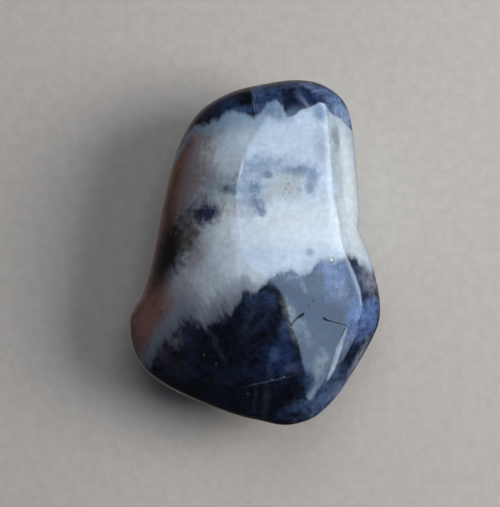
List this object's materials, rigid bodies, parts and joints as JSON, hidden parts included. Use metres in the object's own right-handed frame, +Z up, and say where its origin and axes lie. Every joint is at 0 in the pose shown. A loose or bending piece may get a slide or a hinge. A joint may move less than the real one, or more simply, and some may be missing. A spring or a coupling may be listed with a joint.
{
  "type": "tumbled sodalite stone",
  "caption": "Polished pebble of blue and white sodalite, 42 mm long, with worn facets, a pinched waist and a small flat spot to rest on.",
  "frame": {"origin": "on the flat spot's plane, under the middle of the pebble's box", "axes": "+Z up from the flat spot, the pebble's thinnest direction; +Y along its length, towards the narrower end; +X towards the flank with the hollow notch"},
  "size_m": [0.031, 0.0422, 0.017],
  "materials": {
    "polished_sodalite": "tumbled to a high polish, milky white calcite bands and near-black to periwinkle blue sodalite"
  },
  "bodies": {
    "root": {"sodalite_pebble": "polished_sodalite"}
  },
  "joints": []
}
